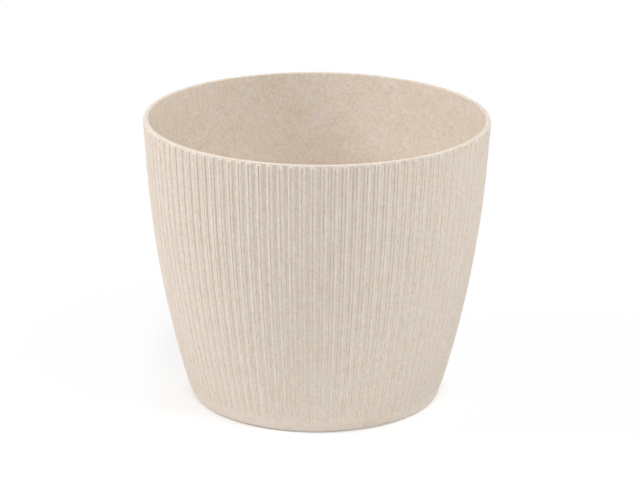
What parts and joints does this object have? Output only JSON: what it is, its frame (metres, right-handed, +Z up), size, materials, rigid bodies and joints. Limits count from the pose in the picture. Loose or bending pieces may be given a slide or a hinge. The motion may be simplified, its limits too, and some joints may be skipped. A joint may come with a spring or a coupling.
{
  "type": "plant pot",
  "caption": "Round ribbed plastic plant pot with a curved tapering wall, a narrow lip, a plain inside and a closed floor on a foot ring.",
  "frame": {"origin": "centre of the foot ring on the ground", "axes": "+Z up along the axis of the pot, towards the open rim; the front as pictured faces -Y"},
  "size_m": [0.192, 0.192, 0.16],
  "materials": {
    "pot_plastic": "matte beige plastic filled with wood fibre, with fine darker specks and faint mottling"
  },
  "bodies": {
    "root": {"pot": "pot_plastic"}
  },
  "joints": []
}
